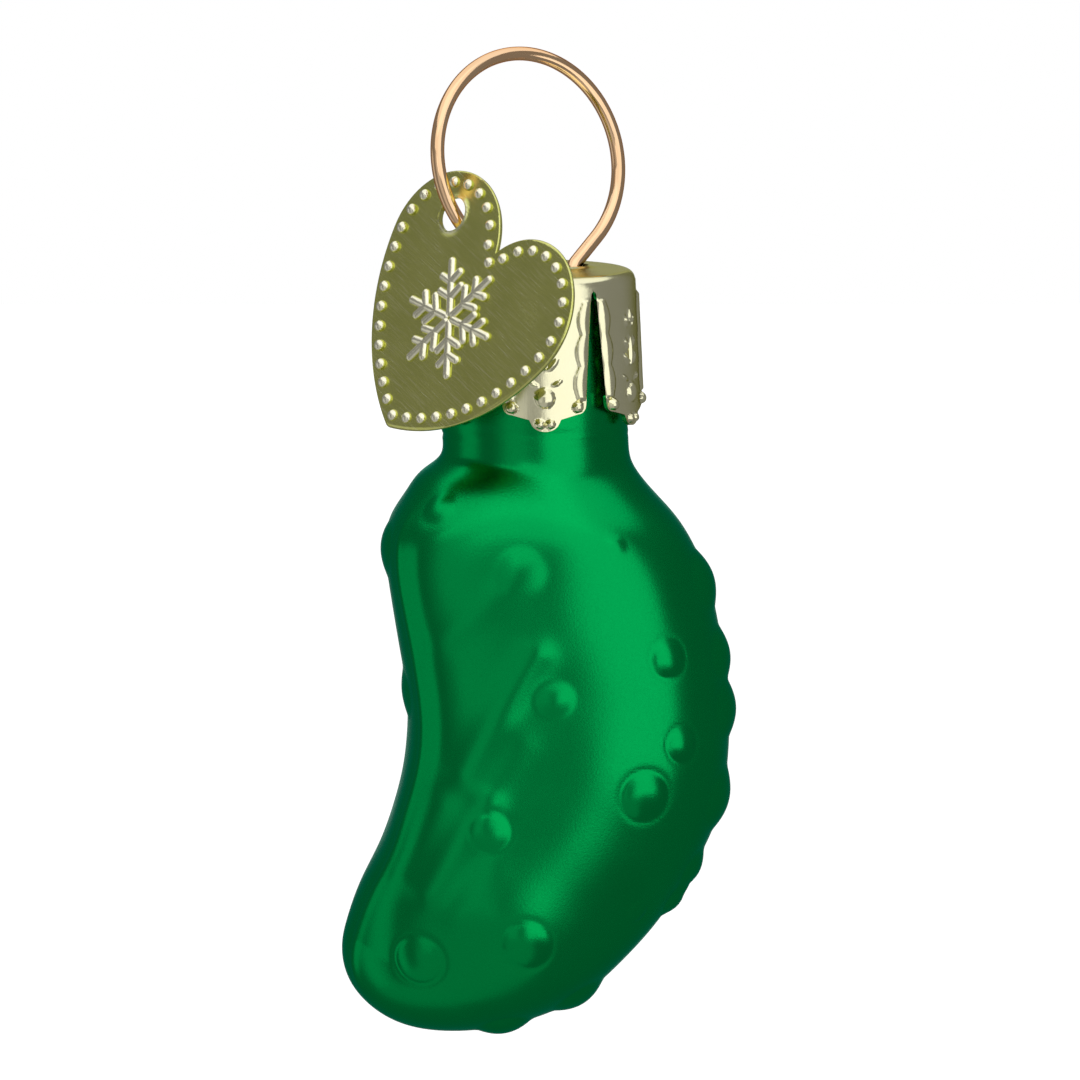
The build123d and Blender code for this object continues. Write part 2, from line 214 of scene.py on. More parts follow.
# Leaves on both sides of each lobe's middle: across, drop, half length, half width, outward lean
LEAVES = (
    (0.0, 2.5, 0.45, 0.13, 0.0),
    (0.42, 2.8, 0.42, 0.13, 18.0),
    (0.0, 4.6, 0.95, 0.10, 0.0),
    (0.45, 4.15, 0.45, 0.15, 35.0),
    (0.5, 5.1, 0.5, 0.16, 40.0),
    (0.75, 6.2, 0.36, 0.12, 60.0),
)
BOSS = (0.0, 7.1, 0.6, 0.3)  # across, drop, radius and rise
CORNER_BEAD = (2.02, 7.67, 0.36, 0.34)
TIP_BEAD = (0.32, 8.65, 0.28, 0.27)

# Wire loop
WIRE_R = 0.42
LOOP_R = 6.45
LOOP_RISE = 6.6
LOOP_YAW = math.radians(33.8)
LOOP_TILT = math.radians(13.2)  # of the loop away from the viewer; its legs stay upright
LOOP_LEAN = math.radians(4.4)  # of the loop to the right, in its own plane
LOOP_HOLE_SPACING = 5.0
WIRE_BEND_R = 1.2
LEG_DEPTH = 9.0
LEG_CLEARANCE = 0.35
WIRE_END = 0.3  # height of its rounded ends, as a share of its radius
WIRE_SIDES = 28
LOOP_POINTS = 140
BEND_POINTS = 14
LEG_POINTS = 12

# Heart tag
TAG_SHEET = 0.3
TAG_WIDTH = 17.7
TAG_HEIGHT = 15.25
TAG_NOTCH_RISE = 1.9
TAG_SIDE_ANGLE = 14.7
TAG_TIP_R = 0.6
TAG_HOLE_R = 1.05
TAG_HOLE_SHIFT = (-0.6, 1.8)
TAG_YAW = 46.3
TAG_PITCH = 20.096
TAG_ROLL = 25.8
TAG_BEADS = 40
TAG_BEAD_R = 0.36
TAG_BEAD_RISE = 0.32
TAG_BEAD_INSET = 0.75
TAG_EDGE_R = 0.12
TAG_DENT = 0.16  # depth of the hollows behind the raised marks
TAG_WAVE = 0.02
BURR_RISE = 0.12  # of the burr round the hole
BURR_WIDTH = 0.2
TAG_MIDDLE = (0.0, 7.3)  # a place from which straight rays reach all of the edge
HEART_POINTS = 400  # along each large arc of the heart
ROUND_POINTS = 40  # along each small one
TAG_COLUMNS = 480
TAG_ROWS = 60
FLAKE_MIDDLE = (-0.3, 7.6)  # six-armed snowflake on the tag's face
FLAKE_START = 0.35  # of its arms, from its middle
FLAKE_ARM = 3.6
FLAKE_TURN = 12.0
FLAKE_STROKE = 0.3  # half width of its raised lines
FLAKE_RISE = 0.25
FLAKE_BRANCHES = ((1.3, 1.0), (2.3, 0.85))  # start along the arm, and length
FLAKE_LEAN = math.radians(55)  # of its branches from the arm
RAISED_SIDES = 28  # points round each bead and stroke
RAISED_RINGS = 7
RAISED_SPAN = (-8, 84)  # degrees of a mark's round section, from just under the sheet's face

LOOP_ACROSS = np.array([math.cos(LOOP_YAW), math.sin(LOOP_YAW), 0])
LOOP_FACING = np.array([LOOP_ACROSS[1], -LOOP_ACROSS[0], math.tan(LOOP_TILT)]) * math.cos(LOOP_TILT)
LOOP_UP = np.cross(LOOP_FACING, LOOP_ACROSS)
WIRE_HOLES = [side * LOOP_HOLE_SPACING / 2 * LOOP_ACROSS for side in (-1, 1)]
TAG_LOBE_R = TAG_WIDTH / 4 + TAG_NOTCH_RISE**2 / TAG_WIDTH
TAG_LOBE = np.array([TAG_WIDTH / 2 - TAG_LOBE_R, TAG_HEIGHT - TAG_LOBE_R])
TAG_HOLE = np.array([TAG_HOLE_SHIFT[0] - TAG_LOBE[0], TAG_HOLE_SHIFT[1] + TAG_LOBE[1]])
TAG_HOLE_PLACE = (np.array(JOINTS["tag_swing"]["pos_m"]) - CAP_MIDDLE) / MM


# Helpers for meshes
def placed(points):
    """Points in millimetres from the cap's middle, as points of the frame in metres."""
    return np.asarray(points) * MM + CAP_MIDDLE


def ease(value, low, high):
    """A smooth step from 0 at low to 1 at high."""
    share = np.clip((np.asarray(value, float) - low) / (high - low), 0, 1)
    return share * share * (3 - 2 * share)


def bell(value, width):
    """A smooth hump: 1 at 0, and little beyond twice the width."""
    return np.exp(-((value / width) ** 2))


def line_gap(flat, start, end):
    """How far places are from the straight line between two ends."""
    line = np.subtract(end, start)
    share = np.clip((flat - start) @ line / max(line @ line, 1e-9), 0, 1)
    return norm(flat - start - share[..., None] * line, axis=-1)


def unit(vectors):
    """Vectors of the same directions that are 1 long."""
    return vectors / np.maximum(norm(vectors, axis=-1, keepdims=True), 1e-9)


def lifted(flat, height):
    """Flat places with their height added."""
    height = np.broadcast_to(height, flat.shape[:-1])
    return np.concatenate([flat, height[..., None]], axis=-1)


def distances(points):
    """How far along a run of points each of them lies."""
    return np.concatenate([[0], np.cumsum(norm(np.diff(points, axis=0), axis=1))])


def smooth_rows(rows, count, end_slope):
    """Rows of a smooth curve through the given rows, spaced evenly by their first three columns."""
    rows = np.array(rows, float)
    steps = norm(np.diff(rows[:, :3], axis=0), axis=1)
    knots = np.concatenate([[0], np.cumsum(steps)])
    matrix = np.eye(len(rows))
    turn = np.zeros_like(rows)
    for i in range(1, len(rows) - 1):
        before, after = steps[i - 1:i + 1]
        matrix[i, i - 1:i + 2] = before, 2 * (before + after), after
        turn[i] = 6 * ((rows[i + 1] - rows[i]) / after - (rows[i] - rows[i - 1]) / before)
    matrix[-1, -2:] = steps[-1], 2 * steps[-1]
    turn[-1] = 6 * (np.array(end_slope) - (rows[-1] - rows[-2]) / steps[-1])
    bend = np.linalg.solve(matrix, turn)
    at = np.linspace(0, knots[-1], count)
    i = np.clip(np.searchsorted(knots, at) - 1, 0, len(steps) - 1)
    step = steps[i][:, None]
    far = (at - knots[i])[:, None] / step
    near = 1 - far
    curve = (near**3 - near) * bend[i] + (far**3 - far) * bend[i + 1]
    return near * rows[i] + far * rows[i + 1] + curve * step**2 / 6


def grid_faces(rows, columns, closed):
    """Quads of a grid stored row by row; a closed grid joins its last column to its first."""
    spans = columns if closed else columns - 1
    row, column = np.meshgrid(np.arange(rows - 1), np.arange(spans), indexing="ij")
    after = (column + 1) % columns
    corners = [row * columns + column, row * columns + after]
    corners += [(row + 1) * columns + after, (row + 1) * columns + column]
    return np.stack(corners, axis=-1).reshape(-1, 4)


def pole_faces(pole, ring):
    """Triangles from one point to a ring of points."""
    return [(pole, a, b) for a, b in zip(ring, np.roll(ring, -1))]


def tube_faces(rows, columns):
    """Faces of a closed tube: a grid of rings, then a point at its first end and one at its last."""
    ring = np.arange(columns)
    faces = grid_faces(rows, columns, True).tolist()
    faces += pole_faces(rows * columns, ring)
    return faces + pole_faces(rows * columns + 1, (rows - 1) * columns + ring)


def grid_normals(points):
    """Unit normals of a grid that is closed across its columns, up to their sign."""
    along = np.gradient(points, axis=0)
    around = np.roll(points, -1, axis=1) - np.roll(points, 1, axis=1)
    return unit(np.cross(around, along))


def add_object(name, data):
    """A new object in the scene."""
    thing = bpy.data.objects.new(name, data)
    bpy.context.scene.collection.objects.link(thing)
    return thing


def put(thing, place, turn):
    """Moves an object to a place and turns it."""
    thing.location = place
    thing.rotation_mode = "QUATERNION"
    thing.rotation_quaternion = turn


def make_mesh(name, points, faces, attributes=(), weld=0):
    """A smooth mesh object with outward faces; attributes are (name, one vector for each point).

    Points closer than weld millimetres are joined."""
    mesh = bpy.data.meshes.new(name)
    mesh.from_pydata(placed(points).tolist(), [], [tuple(map(int, face)) for face in faces])
    for label, vectors in attributes:
        layer = mesh.attributes.new(label, "FLOAT_VECTOR", "POINT")
        layer.data.foreach_set("vector", np.asarray(vectors, np.float32).ravel())
    shape = bmesh.new()
    shape.from_mesh(mesh)
    if weld:
        bmesh.ops.remove_doubles(shape, verts=shape.verts, dist=weld * MM)
    bmesh.ops.recalc_face_normals(shape, faces=shape.faces)
    shape.to_mesh(mesh)
    shape.free()
    mesh.shade_smooth()
    return add_object(name, mesh)


def apply_modifiers(piece):
    """Bakes a piece's modifiers into its mesh, with sharp edges where faces meet steeply."""
    graph = bpy.context.evaluated_depsgraph_get()
    mesh = bpy.data.meshes.new_from_object(piece.evaluated_get(graph))
    piece.modifiers.clear()
    piece.data = mesh
    mesh.shade_smooth()
    mesh.set_sharp_from_angle(angle=math.radians(SHARP_ANGLE))


def cut_hole(piece, middle, direction, radius, half):
    """Cuts a round hole, as far as half on each side of its middle."""
    shape = bmesh.new()
    bmesh.ops.create_cone(shape, cap_ends=True, segments=HOLE_SIDES, radius1=radius * MM,
                          radius2=radius * MM, depth=2 * half * MM)
    mesh = bpy.data.meshes.new("cutter")
    shape.to_mesh(mesh)
    shape.free()
    cutter = add_object("cutter", mesh)
    put(cutter, placed(middle), Vector(direction).to_track_quat("Z", "Y"))
    bpy.context.view_layer.update()
    cut = piece.modifiers.new("hole", "BOOLEAN")
    cut.operation = "DIFFERENCE"
    cut.solver = "EXACT"
    cut.object = cutter
    apply_modifiers(piece)
    bpy.data.objects.remove(cutter)


# Glass body
def section_rows():
    """Drop, place, half breadth, half depth and tilt of the glass, from the rim to the far end."""
    rows = [(-NECK_LENGTH * share, 0, NECK_R, NECK_R, 0) for share in (1, 0.7, 0.4, 0.12)]
    rows.append((FLARE_DROP, 0, FLARE_R, FLARE_R, 0))
    for drop, across, breadth, tilt in SECTIONS:
        half = breadth * BODY_WIDTH / 2
        depth = half * (1 - (1 - BODY_DEPTH / BODY_WIDTH) * breadth**3)
        rows.append((drop * BODY_LENGTH, across * BODY_WIDTH, half, depth, tilt))
    return rows


def quarter(share, reach):
    """A quarter of a section, from its side to its front or back, as shares of its half sizes."""
    rest = 1 - share
    side = rest**3 + 3 * rest**2 * share + 3 * rest * share**2 * reach
    face = 3 * rest**2 * share * reach + 3 * rest * share**2 + share**3
    return side, face


def section_rings(rows, inset):
    """A ring of points for each row, drawn in by the given wall and boxier on its left."""
    drop, across, half, depth, tilt = (column[:, None] for column in rows.T)
    full = np.clip((2 * half / BODY_WIDTH - NARROW) / (1 - NARROW), 0, None)
    right = ROUND + (RIGHT_FULLNESS - ROUND) * full
    left = ROUND + (LEFT_FULLNESS - ROUND) * full
    share = np.linspace(0, 1, GLASS_QUARTER, endpoint=False)[None, :]
    runs = [quarter(share, right), quarter(1 - share, left)]
    runs += [quarter(share, left), quarter(1 - share, right)]
    out = np.concatenate([runs[0][0], -runs[1][0], -runs[2][0], runs[3][0]], axis=1)
    back = np.concatenate([runs[0][1], runs[1][1], -runs[2][1], -runs[3][1]], axis=1)
    out = out * np.maximum(half - inset, 1e-3)
    lean = np.radians(tilt)
    x = across + out * np.cos(lean)
    y = back * np.maximum(depth - inset, 1e-3)
    z = FOOT_Z - drop - out * np.sin(lean)
    return np.stack([x, y, z], axis=-1)


def wart_seats(rings):
    """Each wart's seat on the bare glass, found by a ray from its own side, and its shape:
    foot radius, rise, ring groove, fall and length from front to back."""
    faces = grid_faces(*rings.shape[:2], True)
    tree = BVHTree.FromPolygons(rings.reshape(-1, 3).tolist(), faces.tolist())
    far = BODY_LENGTH + BODY_WIDTH
    rays = []
    for across, drop, foot, rise, groove in FRONT_WARTS:
        start = (across * BODY_WIDTH, -far, FOOT_Z - drop * BODY_LENGTH)
        fall = RINGED_FALL if groove else PLAIN_FALL
        rays.append((start, (0, 1, 0), (foot, rise, groove, fall, 1)))
    for across, drop, foot in BACK_WARTS:
        start = (across * BODY_WIDTH, far, FOOT_Z - drop * BODY_LENGTH)
        rays.append((start, (0, -1, 0), (foot, BACK_WART_RISE, BACK_WART_GROOVE, BACK_FALL, 1)))
    for side, warts, rise in ((1, RIGHT_WARTS, EDGE_WART_RISE), (-1, LEFT_WARTS, LEFT_WART_RISE)):
        for drop, foot in warts:
            start = (side * far, -EDGE_WART_FRONT, FOOT_Z - drop * BODY_LENGTH)
            rays.append((start, (-side, 0, 0), (foot, rise, 0, EDGE_FALL, EDGE_WART_LENGTH)))
    for across, foot in UNDER_WARTS:
        start = (across * BODY_WIDTH, -EDGE_WART_FRONT, FOOT_Z - BODY_LENGTH - far)
        rays.append((start, (0, 0, 1), (foot, EDGE_WART_RISE, 0, UNDER_FALL, EDGE_WART_LENGTH)))
    return [(np.array(tree.ray_cast(Vector(start), Vector(direction))[0]), shape)
            for start, direction, shape in rays]


def rib_relief(points):
    """Rise of the moulded rib along the front's left corner, and the hollow just right of it."""
    left = points[:, 2 * GLASS_QUARTER]
    across = points[:, 0] - left
    breadth = norm(across, axis=-1)
    inside = np.einsum("ijk,ik->ij", points - left[:, None], across / breadth[:, None])
    walked = np.cumsum(norm(np.roll(points, -1, axis=1) - points, axis=-1), axis=1)
    front = slice(2 * GLASS_QUARTER, 3 * GLASS_QUARTER)
    rib = [np.interp(RIB_INSET, inside[i, front], walked[i, front]) for i in range(len(points))]
    off = walked - np.array(rib)[:, None]
    drop = FOOT_Z - points[..., 2]
    span = ease(drop, *RIB_START) * ease(breadth, *RIB_BREADTH)[:, None]
    hollow = ease(drop, *RIB_GROOVE_START) * (1 - ease(drop, *RIB_GROOVE_END))
    groove = RIB_GROOVE * hollow * bell(off - RIB_GROOVE_SHIFT, RIB_GROOVE_WIDTH)
    return RIB_RISE * span * bell(off, RIB_WIDTH) - groove


def glass_relief(points, normals):
    """How far the glass stands out from its sections: rib, folds, waves, neck marks and warts."""
    rise = rib_relief(points)
    drop = FOOT_Z - points[..., 2]
    flat = np.stack([points[..., 0], drop], axis=-1)
    front = ease(-normals[..., 1], *FOLD_FACING)
    for start, end, width, height in FOLDS:
        rise += height * front * bell(line_gap(flat, start, end), width)
    turn = np.arctan2(points[..., 1], points[..., 0])
    body = ease(drop, 1, 5) * ease(BODY_LENGTH - drop, 1, 4)
    for down, around, phase in WAVES:
        rise += WAVE_RISE * body * np.sin(down * drop + around * turn + phase)
    for mark in NECK_MARKS:
        faint = 0.6 + 0.4 * np.sin(3 * turn + 7 * mark)
        rise -= NECK_MARK_DEPTH * faint * bell(drop - mark, NECK_MARK_WIDTH)
    for seat, (foot, height, groove, fall, length) in wart_seats(points):
        gap = norm((points - seat) / (1, length, 1), axis=-1) / foot
        rise += height * np.clip(1 - gap**2, 0, 1) ** fall
        rise -= groove * bell(gap - RING_PLACE, RING_WIDTH)
    return rise


def build_glass():
    """The blown shell: outside with warts, rounded rim, and the bare inside."""
    round_end = (0, 0, -1, -1, 0)
    rows = smooth_rows(section_rows(), GLASS_ROWS, round_end)
    outside = section_rings(rows[:-1], 0)
    normals = grid_normals(outside)
    if np.mean(normals[0, :, 0] * outside[0, :, 0]) < 0:
        normals = -normals
    outside = outside + glass_relief(outside, normals)[..., None] * normals
    inner_rows = smooth_rows(section_rows(), INNER_ROWS, round_end)
    inner_rows = inner_rows[inner_rows[:, 2] > 2 * GLASS_WALL]
    inside = section_rings(inner_rows, GLASS_WALL)[::-1]
    half = GLASS_WALL / 2
    turn = np.linspace(0, 2 * math.pi, GLASS_COLUMNS, endpoint=False)
    angle = np.radians(np.linspace(170, 10, LIP_ROWS))[:, None]
    out = NECK_R - half + half * np.cos(angle)
    lip = [out * np.cos(turn), out * np.sin(turn), RIM_Z - half * (1 - np.sin(angle)) + 0 * turn]
    inside = inside[inside[:, 0, 2] < RIM_Z - half]
    outside = outside[np.min(outside[:, :, 2], axis=1) < RIM_Z - half]
    rings = np.concatenate([inside, np.stack(lip, axis=-1), outside])
    inner_pole = inside[0].mean(axis=0) - INNER_END
    outer_pole = np.array([SECTIONS[-1][1] * BODY_WIDTH, 0, FOOT_Z - SECTIONS[-1][0] * BODY_LENGTH])
    points = np.concatenate([rings.reshape(-1, 3), [inner_pole, outer_pole]])
    piece = make_mesh("blown_glass", points, tube_faces(len(rings), GLASS_COLUMNS))
    coated = np.zeros(len(piece.data.polygons), np.int32)
    coated[:(len(inside) + 2) * GLASS_COLUMNS] = 1
    inner_fan = (len(rings) - 1) * GLASS_COLUMNS
    coated[inner_fan:inner_fan + GLASS_COLUMNS] = 1
    piece.data.materials.append(green_lacquer())
    piece.data.materials.append(silvering())
    piece.data.polygons.foreach_set("material_index", coated)
    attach(piece, "glass")
    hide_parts("glass_body")


# Stamped cap
def lobe_foot(across, half):
    """Drop of a lobe's lower edge at a place across it: round corners and a tongue in the middle."""
    corner = half - LOBE_CORNER_R
    tongue = TONGUE_WIDTH / 2
    shoulder = LOBE_DROP + TONGUE_SHOULDER
    slope = LOBE_DROP + TONGUE_SHOULDER * np.clip((corner - across) / (corner - tongue), 0, 1)
    rounding = np.sqrt(np.maximum(LOBE_CORNER_R**2 - np.clip(across - corner, 0, None) ** 2, 0))
    drop = slope - (LOBE_CORNER_R - rounding)
    tip = shoulder + (CAP_HEIGHT - shoulder) * np.sqrt(np.clip(1 - (across / tongue) ** 2, 0, 1))
    return np.where(across < tongue, tip, drop)


def dome(across, drop, place):
    """A round bead or boss: place is across, drop, radius and rise."""
    middle, height, radius, rise = place
    gap = np.hypot(across - middle, drop - height) / radius
    return rise * np.sqrt(np.clip(1 - gap**2, 0, 1))


def lobe_relief(across, drop, half):
    """How far a lobe's stamping stands out: scalloped border strips, leaves, boss and beads."""
    side = np.abs(across)
    edge = half - side
    between = np.clip((drop - STRIP_TOP) / (STRIP_FOOT - STRIP_TOP), 0, 1)
    strip = STRIP_WIDTH + STRIP_SCALLOP * np.abs(np.sin(math.pi * SCALLOPS * between))
    span = ease(drop, STRIP_TOP - STRIP_TOP_FADE, STRIP_TOP)
    span *= 1 - ease(drop, STRIP_FOOT, STRIP_FOOT + STRIP_FOOT_FADE)
    rise = STRIP_RISE * span * np.sin(math.pi * np.clip(edge / strip, 0, 1)) ** STRIP_FULLNESS
    rise -= STRIP_GROOVE * span * bell(edge - strip - STRIP_GROOVE_SHIFT, STRIP_GROOVE_WIDTH)
    for middle, height, length, width, lean in LEAVES:
        turn = math.radians(lean)
        along = (drop - height) * math.cos(turn) - (side - middle) * math.sin(turn)
        off = (side - middle) * math.cos(turn) + (drop - height) * math.sin(turn)
        leaf = np.clip(1 - (along / length) ** 2 - (off / width) ** 2, 0, 1)
        rise = np.maximum(rise, LEAF_RISE * leaf**LEAF_FULLNESS)
    for place in (BOSS, CORNER_BEAD, TIP_BEAD):
        rise = np.maximum(rise, dome(side, drop, place))
    return rise


def top_rings(angles):
    """The cap's flat top and rounded edge, from the middle outwards."""
    rings = [(radius, 0.0) for radius in np.linspace(0.12, 1, TOP_ROWS) * (CAP_TOP_R - CAP_EDGE_R)]
    for angle in np.radians(np.linspace(78, 0, EDGE_ROWS)):
        radius = CAP_TOP_R - CAP_EDGE_R * (1 - math.cos(angle))
        rings.append((radius, -CAP_EDGE_R * (1 - math.sin(angle))))
    radius, z = np.array(rings).T[..., None]
    points = np.stack([radius * np.sin(angles), -radius * np.cos(angles), z + 0 * angles], axis=-1)
    for hole in WIRE_HOLES:
        gap = np.hypot(points[..., 0] - hole[0], points[..., 1] - hole[1])
        collar = COLLAR_RISE * bell(gap - CAP_HOLE_R, COLLAR_WIDTH)
        points[..., 2] += collar * (points[..., 2] > -0.01)
    return points


def build_cap():
    """The cap: a flat top and six stamped lobes that spread over the neck."""
    pitch = math.pi / CAP_LOBES
    share = np.linspace(-1, 1, LOBE_COLUMNS)
    share = np.sign(share) * (1 - (1 - np.abs(share)) ** EDGE_CROWDING)
    down = np.linspace(0, 1, LOBE_ROWS)[:, None]
    foot_r = CAP_TOP_R + CAP_FLARE * LOBE_DROP / CAP_HEIGHT
    foot_half = foot_r * (pitch - math.asin(SLOT_FOOT_WIDTH / 2 / foot_r))
    foot = lobe_foot(np.abs(share) * foot_half, foot_half)[None, :]
    drop = CAP_EDGE_R + down * (foot - CAP_EDGE_R)
    slot = np.interp(drop, (SLOT_DROP, SLOT_DROP + SLOT_TOP_WIDTH / 2, LOBE_DROP - LOBE_CORNER_R),
                     (0, SLOT_TOP_WIDTH / 2, SLOT_FOOT_WIDTH / 2))
    radius = CAP_TOP_R + CAP_FLARE * drop / CAP_HEIGHT
    limit = pitch - np.arcsin(slot / radius)
    angle = share[None, :] * limit
    relief = lobe_relief(angle * radius, drop, limit * radius)
    middles = math.radians(CAP_TURN) + 2 * pitch * np.arange(CAP_LOBES)
    turn = np.concatenate([middle + angle for middle in middles], axis=1)
    out = np.tile(radius + relief, CAP_LOBES)
    skirt = np.stack([out * np.sin(turn), -out * np.cos(turn), -np.tile(drop, CAP_LOBES)], axis=-1)
    top = top_rings(np.concatenate([middle + share * pitch for middle in middles]))
    rings = np.concatenate([top[:-1], skirt])
    columns = CAP_LOBES * LOBE_COLUMNS
    joined = len(top) - 1 + int(np.sum(drop[:, 0] < SLOT_DROP))
    faces = grid_faces(len(rings), columns, True)
    between_lobes = faces[:, 0] % LOBE_COLUMNS == LOBE_COLUMNS - 1
    faces = faces[~between_lobes | (faces[:, 0] // columns < joined - 1)].tolist()
    points = np.concatenate([rings.reshape(-1, 3), [(0, 0, 0)]])
    faces += pole_faces(len(points) - 1, np.arange(columns))
    height = np.zeros((len(points), 3))
    height[(len(top) - 1) * columns:-1, 0] = np.tile(relief, CAP_LOBES).ravel()
    piece = make_mesh("stamped_cap", points, faces, [("stamping", height)], CAP_WELD)
    sheet = piece.modifiers.new("sheet", "SOLIDIFY")
    sheet.thickness = CAP_SHEET * MM
    sheet.offset = -1
    apply_modifiers(piece)
    for place in WIRE_HOLES:
        cut_hole(piece, place, (0, 0, 1), CAP_HOLE_R, 1.5)
    piece.data.materials.append(cap_brass())
    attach(piece, "cap")
    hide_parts("crown_cap")


# Wire loop
def on_loop(along, up):
    """A point of the leaned and tilted plane of the loop."""
    right = along * math.cos(LOOP_LEAN) + up * math.sin(LOOP_LEAN)
    rise = up * math.cos(LOOP_LEAN) - along * math.sin(LOOP_LEAN)
    return right * LOOP_ACROSS + rise * LOOP_UP


def bend(start, corner, end):
    """Points of a round bend at a corner of the wire."""
    first = unit(start - corner)
    second = unit(end - corner)
    half = math.acos(np.clip(first @ second, -1, 1)) / 2
    middle = corner + unit(first + second) * WIRE_BEND_R / math.sin(half)
    begin = corner + first * WIRE_BEND_R / math.tan(half) - middle
    finish = corner + second * WIRE_BEND_R / math.tan(half) - middle
    spread = math.acos(np.clip(begin @ finish / WIRE_BEND_R**2, -1, 1))
    shares = np.linspace(0, 1, BEND_POINTS)[:, None]
    arc = np.sin((1 - shares) * spread) * begin + np.sin(shares * spread) * finish
    return middle + arc / math.sin(spread)


def wire_line():
    """The wire's middle line, from one sprung leg round the loop to the other."""
    hole = LOOP_HOLE_SPACING / 2
    distance = math.hypot(hole, LOOP_RISE)
    length = math.sqrt(distance**2 - LOOP_R**2)
    angle = math.atan2(LOOP_RISE, -hole) - math.asin(LOOP_R / distance)
    along = hole + length * math.cos(angle)
    up = length * math.sin(angle)
    spread = NECK_R - GLASS_WALL - WIRE_R - LEG_CLEARANCE
    begin = math.degrees(math.atan2(up - LOOP_RISE, along))
    turns = np.radians(np.linspace(180 - begin, begin, LOOP_POINTS))
    loop = [on_loop(LOOP_R * math.cos(turn), LOOP_RISE + LOOP_R * math.sin(turn)) for turn in turns]
    left_foot = -spread * LOOP_ACROSS - (0, 0, LEG_DEPTH)
    right_foot = spread * LOOP_ACROSS - (0, 0, LEG_DEPTH)
    left = bend(left_foot, on_loop(-hole, 0), on_loop(-along, up))
    right = bend(on_loop(along, up), on_loop(hole, 0), right_foot)
    shares = np.linspace(0, 1, LEG_POINTS)[:, None]
    left_leg = left_foot + shares[:-1] * (left[0] - left_foot)
    right_leg = right[-1] + shares[1:] * (right_foot - right[-1])
    return np.concatenate([left_leg, left, loop, right, right_leg])


def build_wire():
    """The bent wire, round in section, with its ends rounded."""
    line = wire_line()
    ahead = unit(np.gradient(line, axis=0))
    aside = unit(np.cross(LOOP_FACING, ahead))
    facing = np.cross(ahead, aside)
    walked = distances(line)
    turn = np.linspace(0, 2 * math.pi, WIRE_SIDES, endpoint=False)
    out, over = np.cos(turn), np.sin(turn)
    rings = out[:, None] * facing[:, None] + over[:, None] * aside[:, None]
    rings = line[:, None] + WIRE_R * rings
    marks = np.stack(np.broadcast_arrays(walked[:, None], out, over), axis=-1)
    ends = [line[0] - ahead[0] * WIRE_R * WIRE_END, line[-1] + ahead[-1] * WIRE_R * WIRE_END]
    points = np.concatenate([rings.reshape(-1, 3), ends])
    around = np.concatenate([marks.reshape(-1, 3), [(0, 0, 0), (walked[-1], 0, 0)]])
    piece = make_mesh("bent_wire", points, tube_faces(len(line), WIRE_SIDES), [("drawn", around)])
    piece.data.materials.append(wire_brass())
    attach(piece, "hanger")
    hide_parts("hanger_wire")


# Heart tag
def arc_points(middle, radius, begin, end, count):
    """Points along an arc, with angles in degrees."""
    angles = np.radians(np.linspace(begin, end, count))
    return np.asarray(middle) + radius * np.stack([np.cos(angles), np.sin(angles)], axis=-1)


def heart_half(inset):
    """The right half of the heart, from the notch to the tip, drawn in by an inset."""
    angle = math.radians(TAG_SIDE_ANGLE)
    across, height = TAG_LOBE
    span = across**2 + height**2 - TAG_LOBE_R**2
    extra = span / (2 * (TAG_LOBE_R + across * math.cos(angle) - height * math.sin(angle)))
    side = across - extra * math.cos(angle), height + extra * math.sin(angle)
    side_r = TAG_LOBE_R + extra - inset
    notch = 0, height + TAG_NOTCH_RISE
    start = math.degrees(math.atan2(TAG_NOTCH_RISE, -across))
    tip_r = max(TAG_TIP_R - inset, 0)
    tip = -math.degrees(math.acos(-side[0] / (side_r - tip_r)))
    tip_middle = 0, side[1] + (side_r - tip_r) * math.sin(math.radians(tip))
    runs = [arc_points(TAG_LOBE, TAG_LOBE_R - inset, start, -TAG_SIDE_ANGLE, HEART_POINTS)]
    runs.append(arc_points(side, side_r, -TAG_SIDE_ANGLE, tip, HEART_POINTS)[1:])
    if inset > 0:
        runs.insert(0, arc_points(notch, inset, -90, start - 180, ROUND_POINTS)[:-1])
    if tip_r > 0:
        runs.append(arc_points(tip_middle, tip_r, tip, -90, ROUND_POINTS)[1:])
    return np.concatenate(runs)


def heart_loop(inset):
    """The whole heart as a closed run of points that starts at the notch."""
    half = heart_half(inset)
    mirrored = half[::-1] * (-1, 1)
    return np.concatenate([half, mirrored[1:-1]])


def spread_along(loop, count):
    """Evenly spaced points along a closed run of points."""
    closed = np.concatenate([loop, loop[:1]])
    walked = distances(closed)
    at = np.arange(count) / count * walked[-1]
    return np.stack([np.interp(at, walked, column) for column in closed.T], axis=-1)


def raised_mark(start, end, half, rise):
    """Points of a raised stroke on the tag's face, or of a bead where its ends are one, ring by ring."""
    turn = np.linspace(0, 2 * math.pi, RAISED_SIDES, endpoint=False)
    ahead = math.atan2(end[1] - start[1], end[0] - start[0])
    around = np.stack([np.cos(turn + ahead), np.sin(turn + ahead)], axis=-1)
    feet = np.where(np.cos(turn)[:, None] > 0, end, start)
    rings = []
    for angle in np.radians(np.linspace(*RAISED_SPAN, RAISED_RINGS)):
        flat = feet + half * math.cos(angle) * around
        rings.append(lifted(flat, TAG_SHEET / 2 + rise * math.sin(angle)))
    return np.concatenate(rings)


